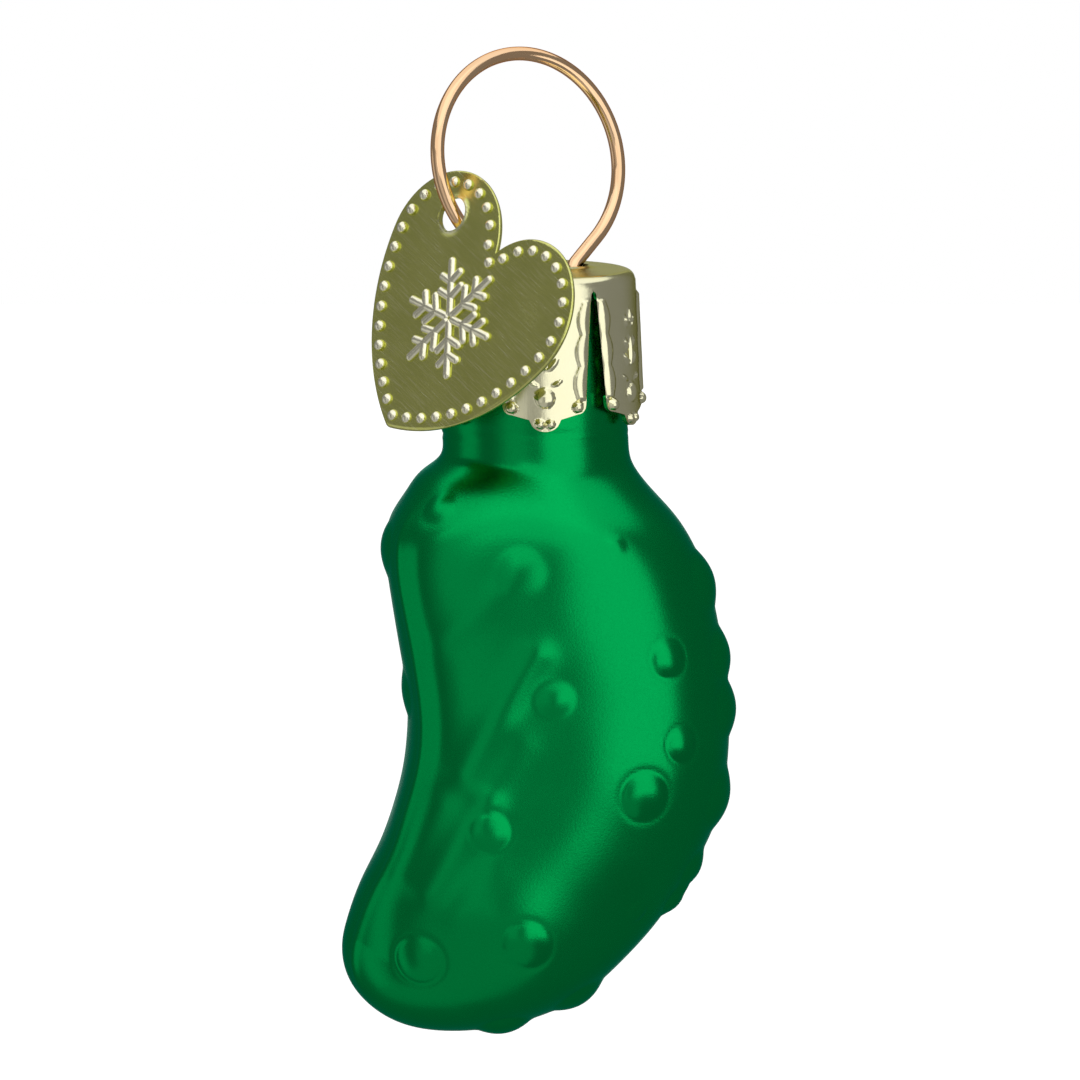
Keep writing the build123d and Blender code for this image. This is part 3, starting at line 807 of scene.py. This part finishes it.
def tag_marks():
    """Two ends, half width and rise of each raised mark: the beads and the snowflake's strokes."""
    beads = spread_along(heart_loop(TAG_BEAD_INSET), TAG_BEADS)
    marks = [(bead, bead, TAG_BEAD_R, TAG_BEAD_RISE) for bead in beads]
    middle = np.array(FLAKE_MIDDLE)
    for index in range(6):
        turn = math.radians(FLAKE_TURN + 60 * index)
        ahead = np.array([math.cos(turn), math.sin(turn)])
        strokes = [(middle + FLAKE_START * ahead, middle + FLAKE_ARM * ahead)]
        for start, length in FLAKE_BRANCHES:
            foot = middle + start * ahead
            for lean in (turn - FLAKE_LEAN, turn + FLAKE_LEAN):
                strokes.append((foot, foot + length * np.array([math.cos(lean), math.sin(lean)])))
        marks += [(*stroke, FLAKE_STROKE, FLAKE_RISE) for stroke in strokes]
    return marks


def tag_relief(flat):
    """How far the sheet stands out: the burr round its hole and slow waves left by the stamping."""
    across, up = flat[..., 0], flat[..., 1]
    burr = norm(flat - TAG_HOLE, axis=-1) - TAG_HOLE_R
    waves = np.sin(0.7 * across + 0.4 * up) + np.sin(0.5 * up - 0.6 * across + 1)
    return BURR_RISE * bell(burr, BURR_WIDTH) + TAG_WAVE * waves


def dents(flat):
    """How deep the tag's back is hollow behind its raised marks."""
    depth = np.zeros(flat.shape[:-1])
    for start, end, *_ in tag_marks():
        gap = line_gap(flat, start, end) / TAG_BEAD_R
        depth = np.maximum(depth, TAG_DENT * np.clip(1 - gap**2, 0, 1))
    return depth


def tag_axes():
    """The tag's right, up and facing directions."""
    yaw = math.radians(TAG_YAW)
    pitch = math.radians(TAG_PITCH)
    roll = math.radians(TAG_ROLL)
    flat = math.cos(pitch)
    facing = np.array([-math.sin(yaw) * flat, -math.cos(yaw) * flat, math.sin(pitch)])
    level = np.array([math.cos(yaw), -math.sin(yaw), 0])
    rising = np.cross(facing, level)
    right = level * math.cos(roll) - rising * math.sin(roll)
    up = level * math.sin(roll) + rising * math.cos(roll)
    return right, up, facing


def on_tag(flat):
    """Points across, up and out from the tag's face, as points from the cap's middle."""
    right, up, facing = tag_axes()
    across = (flat[:, :1] - TAG_HOLE[0]) * right + (flat[:, 1:2] - TAG_HOLE[1]) * up
    return TAG_HOLE_PLACE + across + flat[:, 2:] * facing


def raised_marks():
    """Points and faces of all the raised marks."""
    marks = [raised_mark(*mark) for mark in tag_marks()]
    foot = np.arange(RAISED_SIDES)
    top = foot + (RAISED_RINGS - 1) * RAISED_SIDES
    outline = [*grid_faces(RAISED_RINGS, RAISED_SIDES, True), foot, top]
    faces = [face + index * len(marks[0]) for index in range(len(marks)) for face in outline]
    return np.concatenate(marks), faces


def build_tag():
    """The stamped heart: round at its edge, raised on its face and hollow behind the raised marks."""
    edge = spread_along(heart_loop(0), TAG_COLUMNS)
    shares = np.linspace(0, 1, TAG_ROWS)[1:, None, None]
    middle = np.array(TAG_MIDDLE)
    reach = norm(edge - middle, axis=-1)
    inner = middle + shares * (edge - middle)[None] * (1 - TAG_EDGE_R / reach)[None, :, None]
    relief = tag_relief(inner)
    front = lifted(inner, TAG_SHEET / 2 + relief)
    back = lifted(inner, relief + dents(inner) - TAG_SHEET / 2)
    rounds = []
    for angle in np.radians((60, 30, 0, -30, -60)):
        share = 1 - TAG_EDGE_R * (1 - math.cos(angle)) / reach
        flat = middle + share[:, None] * (edge - middle)
        rounds.append(lifted(flat, TAG_SHEET / 2 * math.sin(angle)))
    rings = np.concatenate([front, rounds, back[::-1]])
    poles = [(*middle, tag_relief(middle) + side * TAG_SHEET / 2) for side in (1, -1)]
    flat = np.concatenate([rings.reshape(-1, 3), poles])
    faces = tube_faces(len(rings), TAG_COLUMNS)
    piece = make_mesh("stamped_heart", on_tag(flat), faces, [("face", flat)])
    cut_hole(piece, TAG_HOLE_PLACE, tag_axes()[2], TAG_HOLE_R, 1.0)
    flat, faces = raised_marks()
    marks = make_mesh("raised_marks", on_tag(flat), faces, [("face", flat)])
    both = bmesh.new()
    both.from_mesh(piece.data)
    both.from_mesh(marks.data)
    both.to_mesh(piece.data)
    both.free()
    bpy.data.objects.remove(marks)
    piece.data.materials.append(tag_brass())
    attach(piece, "tag")
    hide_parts("heart_tag")


# Materials
def add_node(tree, kind, inputs=None, **settings):
    """A new node's outputs; each of its inputs is linked to a socket or set to a value."""
    node = tree.nodes.new(kind)
    for name, value in settings.items():
        setattr(node, name, value)
    for name, value in (inputs or {}).items():
        if isinstance(value, bpy.types.NodeSocket):
            tree.links.new(value, node.inputs[name])
        else:
            node.inputs[name].default_value = value
    return node.outputs


class Nodes:
    """A material's node tree, with a short way to add each kind of node that the finishes use."""

    def __init__(self, name):
        self.material = bpy.data.materials.new(name)
        self.material.use_nodes = True
        self.tree = self.material.node_tree
        self.shader = self.tree.nodes["Principled BSDF"]

    def vector(self, attribute=None):
        """The piece's own place in the frame, or a vector stored on its points."""
        if attribute is None:
            return add_node(self.tree, "ShaderNodeTexCoord")["Object"]
        return add_node(self.tree, "ShaderNodeAttribute", attribute_name=attribute)["Vector"]

    def scaled(self, vector, scale, turn=0.0):
        inputs = {"Vector": vector, "Scale": scale, "Rotation": (0, 0, math.radians(turn))}
        return add_node(self.tree, "ShaderNodeMapping", inputs)["Vector"]

    def noise(self, vector, scale, detail=2.0, roughness=0.5):
        inputs = {"Vector": vector, "Scale": scale, "Detail": detail, "Roughness": roughness}
        return add_node(self.tree, "ShaderNodeTexNoise", inputs)["Fac"]

    def range(self, value, low, high, to_low, to_high):
        inputs = {"Value": value, "From Min": low, "From Max": high}
        inputs |= {"To Min": to_low, "To Max": to_high}
        return add_node(self.tree, "ShaderNodeMapRange", inputs)["Result"]

    def mix(self, share, first, second):
        """A colour between two colours, or from a colour socket towards a colour."""
        inputs = {"Factor": share, "A": first, "B": (*second, 1)}
        if isinstance(first, tuple):
            inputs["A"] = (*first, 1)
        return add_node(self.tree, "ShaderNodeMix", inputs, data_type="RGBA")["Result"]

    def separate(self, vector, axis):
        return add_node(self.tree, "ShaderNodeSeparateXYZ", {"Vector": vector})[axis]

    def add(self, first, second):
        return add_node(self.tree, "ShaderNodeMath", {0: first, 1: second})["Value"]

    def bump(self, height, depth, strength, under=None):
        """A bump whose full height is the given depth in millimetres, over another one's normal."""
        inputs = {"Height": height, "Distance": depth * MM, "Strength": strength}
        if under is not None:
            inputs["Normal"] = under
        return add_node(self.tree, "ShaderNodeBump", inputs)["Normal"]

    def finish(self, colour, roughness, normal, tint=(1, 1, 1)):
        """The finished metal; tint is the colour of its edges."""
        self.shader.inputs["Metallic"].default_value = 1
        self.shader.inputs["Specular Tint"].default_value = (*tint, 1)
        for name, socket in (("Base Color", colour), ("Roughness", roughness), ("Normal", normal)):
            self.tree.links.new(socket, self.shader.inputs[name])
        return self.material


def green_lacquer():
    """Satin green lacquer over silvered glass: clouded and finely grained."""
    nodes = Nodes("green_lacquer")
    place = nodes.vector()
    clouds = nodes.noise(place, 260, 3)
    grain = nodes.noise(place, 7500, 2, 0.6)
    colour = nodes.mix(clouds, (0.001, 0.350, 0.076), (0.001, 0.385, 0.086))
    colour = nodes.mix(nodes.range(grain, 0.35, 0.75, 0.0, 0.16), colour, (0.0, 0.25, 0.05))
    roughness = nodes.range(nodes.add(clouds, grain), 0.6, 1.4, 0.22, 0.30)
    return nodes.finish(colour, roughness, nodes.bump(grain, 0.010, 0.6), (0.05, 0.7, 0.6))


def silvering():
    """The silver film seen inside the neck."""
    nodes = Nodes("silvering")
    clouds = nodes.noise(nodes.vector(), 500, 4)
    colour = nodes.mix(clouds, (0.62, 0.64, 0.60), (0.78, 0.80, 0.76))
    roughness = nodes.range(clouds, 0.3, 0.7, 0.14, 0.30)
    return nodes.finish(colour, roughness, nodes.bump(clouds, 0.04, 0.5))


def cap_brass():
    """Bright pale gold plate, with painted shade in the stamping's hollows, which are mixed towards
    brown.
    """
    nodes = Nodes("cap_gold")
    place = nodes.vector()
    stamped = nodes.separate(nodes.vector("stamping"), "X")
    clouds = nodes.noise(place, 420, 3)
    scratches = nodes.noise(nodes.scaled(place, (1, 1, 0.12)), 9000, 3, 0.6)
    colour = nodes.mix(clouds, (0.91, 0.88, 0.55), (0.96, 0.93, 0.66))
    # Painted shade: the colour goes brown where the stamping sinks below the sheet.
    colour = nodes.mix(nodes.range(stamped, -0.05, 0.0, 0.75, 0.0), colour, (0.50, 0.22, 0.13))
    roughness = nodes.range(nodes.add(clouds, scratches), 0.6, 1.4, 0.12, 0.24)
    normal = nodes.bump(scratches, 0.006, 0.6)
    normal = nodes.bump(clouds, 0.05, 0.35, normal)
    return nodes.finish(colour, roughness, normal, (0.5, 0.5, 0.2))


def wire_brass():
    """Drawn gold wire, with fine lines along it and redder patches."""
    nodes = Nodes("wire_gold")
    drawn = nodes.vector("drawn")
    lines = nodes.noise(nodes.scaled(drawn, (0.10, 3.0, 3.0)), 2.2, 3, 0.65)
    patches = nodes.noise(nodes.scaled(drawn, (0.35, 0.6, 0.6)), 1.0, 3)
    colour = nodes.mix(patches, (0.96, 0.60, 0.32), (0.98, 0.71, 0.46))
    colour = nodes.mix(nodes.range(lines, 0.55, 0.8, 0.0, 0.4), colour, (0.55, 0.24, 0.10))
    roughness = nodes.range(lines, 0.3, 0.7, 0.05, 0.11)
    return nodes.finish(colour, roughness, nodes.bump(lines, 0.008, 0.4), (0.75, 0.28, 0.03))


def tag_brass():
    """Brushed gold plate with slanting hairlines that carry a painted sheen, raised marks painted pale
    as highlights, and a duller back.
    """
    nodes = Nodes("tag_gold")
    face = nodes.vector("face")
    hairs_and_sheen = nodes.noise(nodes.scaled(face, (0.22, 6.0, 1.0), 38), 2.4, 4, 0.7)
    long_hairs = nodes.noise(nodes.scaled(face, (0.05, 5.0, 1.0), 52), 1.6, 2)
    clouds = nodes.noise(face, 0.28, 3)
    colour = nodes.mix(clouds, (0.62, 0.64, 0.17), (0.72, 0.73, 0.24))
    # Painted sheen: the hairlines are mixed towards a pale gold.
    colour = nodes.mix(nodes.range(hairs_and_sheen, 0.53, 0.74, 0.0, 0.7), colour, (0.95, 0.92, 0.60))
    height = nodes.separate(face, "Z")
    # Painted highlight: the raised marks are mixed towards a near-white gold.
    colour = nodes.mix(nodes.range(height, 0.2, 0.3, 0.0, 1.0), colour, (0.97, 0.94, 0.72))
    roughness = nodes.range(nodes.add(hairs_and_sheen, clouds), 0.6, 1.4, 0.16, 0.30)
    roughness = nodes.add(roughness, nodes.range(height, -0.1, 0.0, 0.32, 0.0))
    normal = nodes.bump(hairs_and_sheen, 0.010, 0.5)
    normal = nodes.bump(long_hairs, 0.02, 0.4, normal)
    return nodes.finish(colour, roughness, normal)


# Studio, in metres and degrees: a pale floor, soft lamps and grey cards that the metal mirrors
CAMERA_ELEVATION = 6.8
CAMERA_DISTANCE = 1.5
VIEW_WIDTH = 0.0648
SENSOR = 36.0  # in millimetres
VIEW_MIDDLE = Vector(placed((0.300, 0, -16.359)))
FLOOR_Z = -0.30
FLOOR_HALF = 2.6
CARD_R = 0.26
CARD_LEVEL = 0.215
FRONT_CARD_LEVEL = 0.31
LOW_CARD_LEVEL = 0.40
SIDE_CARD_LEVEL = 0.55  # of the cards at the left side and behind
CARD_FOOT = -0.28
CARD_COLUMNS = 48
FAN_R = 1.02 * CARD_R
FAN_COLUMNS = 24
# Cards all round but for a white window on the right: name, level, azimuths and heights
CARDS = (
    ("card_back", SIDE_CARD_LEVEL, (168, 192), (-0.13, 0.2)),
    ("card_under_back", CARD_LEVEL, (168, 192), (CARD_FOOT, -0.13)),
    ("card_left", CARD_LEVEL, (-168, -104), (CARD_FOOT, 0.2)),
    ("card_side", SIDE_CARD_LEVEL, (-104, -76), (CARD_FOOT, 0.03)),
    ("card_over_side", CARD_LEVEL, (-104, -76), (0.03, 0.2)),
    ("card_left_front", CARD_LEVEL, (-76, -50), (CARD_FOOT, 0.2)),
    ("card_front_left", FRONT_CARD_LEVEL, (-50, -18), (-0.12, 0.1)),
    ("card_front", FRONT_CARD_LEVEL, (-18, 9), (-0.12, 0.035)),
    ("card_low", LOW_CARD_LEVEL, (-50, 26), (CARD_FOOT, -0.12)),
    ("card_under_window", CARD_LEVEL, (26, 62), (CARD_FOOT, -0.105)),
    ("card_right", CARD_LEVEL, (62, 168), (CARD_FOOT, 0.2)),
)
# Flat cards under the part, each a slice of a disc: name, level and azimuths
FANS = (("card_floor_front", LOW_CARD_LEVEL, (-110, 30)), ("card_floor_back", CARD_LEVEL, (30, 250)))
# Soft lamps, a key in the window, a top light and a fill on the left:
# name, azimuth, elevation, distance, width, height and power in watts
LAMPS = (
    ("key", 38, 12, 0.255, 0.24, 0.28, 0.02),
    ("top", 8, 58, 0.255, 0.22, 0.17, 0.03),
    ("fill", -24, 2, 0.25, 0.14, 0.22, 0.0213),
)


def heading(azimuth, elevation):
    """A direction from the object: azimuth 0 is towards the camera, and positive to the right."""
    turn = math.radians(azimuth)
    rise = math.radians(elevation)
    return Vector((math.sin(turn) * math.cos(rise), -math.cos(turn) * math.cos(rise), math.sin(rise)))


def seen_by_rays(tree):
    """1 for rays from the camera, from mirrors and through glass, and else 0."""
    path = add_node(tree, "ShaderNodeLightPath")
    total = path["Is Camera Ray"]
    for name in ("Is Glossy Ray", "Is Transmission Ray"):
        both = {0: total, 1: path[name]}
        total = add_node(tree, "ShaderNodeMath", both, operation="MAXIMUM")["Value"]
    return total


def build_world():
    """A dim room that shows as a white background."""
    world = bpy.data.worlds.new("studio")
    bpy.context.scene.world = world
    world.use_nodes = True
    tree = world.node_tree
    dim = tree.nodes["Background"]
    dim.inputs["Color"].default_value = (CARD_LEVEL, CARD_LEVEL, CARD_LEVEL, 1)
    white = add_node(tree, "ShaderNodeBackground", {"Color": (1, 1, 1, 1)})
    shades = {"Fac": seen_by_rays(tree), 1: dim.outputs["Background"], 2: white["Background"]}
    mix = add_node(tree, "ShaderNodeMixShader", shades)
    tree.links.new(mix["Shader"], tree.nodes["World Output"].inputs["Surface"])


def stage_mesh(name, points, faces, material):
    mesh = bpy.data.meshes.new(name)
    mesh.from_pydata(points, [], faces)
    mesh.materials.append(material)
    piece = add_object(name, mesh)
    return piece


def build_floor():
    """A pale floor well below the part, white to the camera but for the part's soft shadow."""
    nodes = Nodes("floor_white")
    tree, paint = nodes.tree, nodes.shader
    paint.inputs["Base Color"].default_value = (0.25, 0.25, 0.25, 1)
    paint.inputs["Roughness"].default_value = 0.9
    glow = add_node(tree, "ShaderNodeEmission", {"Strength": seen_by_rays(tree)})
    both = add_node(tree, "ShaderNodeAddShader", {0: paint.outputs["BSDF"], 1: glow["Emission"]})
    tree.links.new(both["Shader"], tree.nodes["Material Output"].inputs["Surface"])
    signs = (-1, -1), (1, -1), (1, 1), (-1, 1)
    corners = [(x * FLOOR_HALF, y * FLOOR_HALF, FLOOR_Z) for x, y in signs]
    stage_mesh("floor", corners, [(0, 1, 2, 3)], nodes.material)


def card_material(level):
    nodes = Nodes("grey_card")
    tree = nodes.tree
    tree.nodes.remove(nodes.shader)
    glow = add_node(tree, "ShaderNodeEmission", {"Color": (level, level, level, 1)})
    tree.links.new(glow["Emission"], tree.nodes["Material Output"].inputs["Surface"])
    return nodes.material


def build_card(name, points, faces, material):
    """A card that only the part's mirrors see."""
    card = stage_mesh(name, points, faces, material)
    card.visible_camera = False
    card.visible_diffuse = False
    card.visible_shadow = False
    card.visible_transmission = False


def build_cards():
    """The curved cards round the part and the flat ones under it."""
    levels = CARD_LEVEL, FRONT_CARD_LEVEL, LOW_CARD_LEVEL, SIDE_CARD_LEVEL
    materials = {level: card_material(level) for level in levels}
    for name, level, azimuths, heights in CARDS:
        points = []
        for azimuth in np.linspace(*azimuths, CARD_COLUMNS):
            spot = VIEW_MIDDLE + heading(azimuth, 0) * CARD_R
            points += [(spot.x, spot.y, height) for height in heights]
        build_card(name, points, grid_faces(CARD_COLUMNS, 2, False).tolist(), materials[level])
    for name, level, azimuths in FANS:
        turns = np.linspace(*azimuths, FAN_COLUMNS)
        rim = [VIEW_MIDDLE + heading(azimuth, 0) * FAN_R for azimuth in turns]
        points = [(spot.x, spot.y, CARD_FOOT) for spot in (VIEW_MIDDLE, *rim)]
        build_card(name, points, [tuple(range(len(points)))], materials[level])


def build_lamp(name, azimuth, elevation, distance, width, height, power):
    """A soft rectangular lamp that faces the part."""
    lamp = bpy.data.lights.new(name, "AREA")
    lamp.shape = "RECTANGLE"
    lamp.size = width
    lamp.size_y = height
    lamp.energy = power
    lantern = add_object(name, lamp)
    direction = heading(azimuth, elevation)
    put(lantern, VIEW_MIDDLE + direction * distance, direction.to_track_quat("Z", "Y"))
    lantern.visible_camera = False


def build_camera():
    """A long lens slightly above the part, with the frame's middle on VIEW_MIDDLE."""
    lens = bpy.data.cameras.new("camera")
    lens.sensor_width = SENSOR
    lens.lens = SENSOR * CAMERA_DISTANCE / VIEW_WIDTH
    lens.clip_start = 0.05
    lens.clip_end = 20
    camera = add_object("camera", lens)
    back = heading(0, CAMERA_ELEVATION)
    put(camera, VIEW_MIDDLE + back * CAMERA_DISTANCE, (-back).to_track_quat("-Z", "Y"))
    bpy.context.scene.camera = camera


build_camera()
build_glass()
build_cap()
build_wire()
build_tag()
build_world()
build_floor()
build_cards()
for lamp in LAMPS:
    build_lamp(*lamp)
bpy.context.scene.view_settings.view_transform = "Standard"
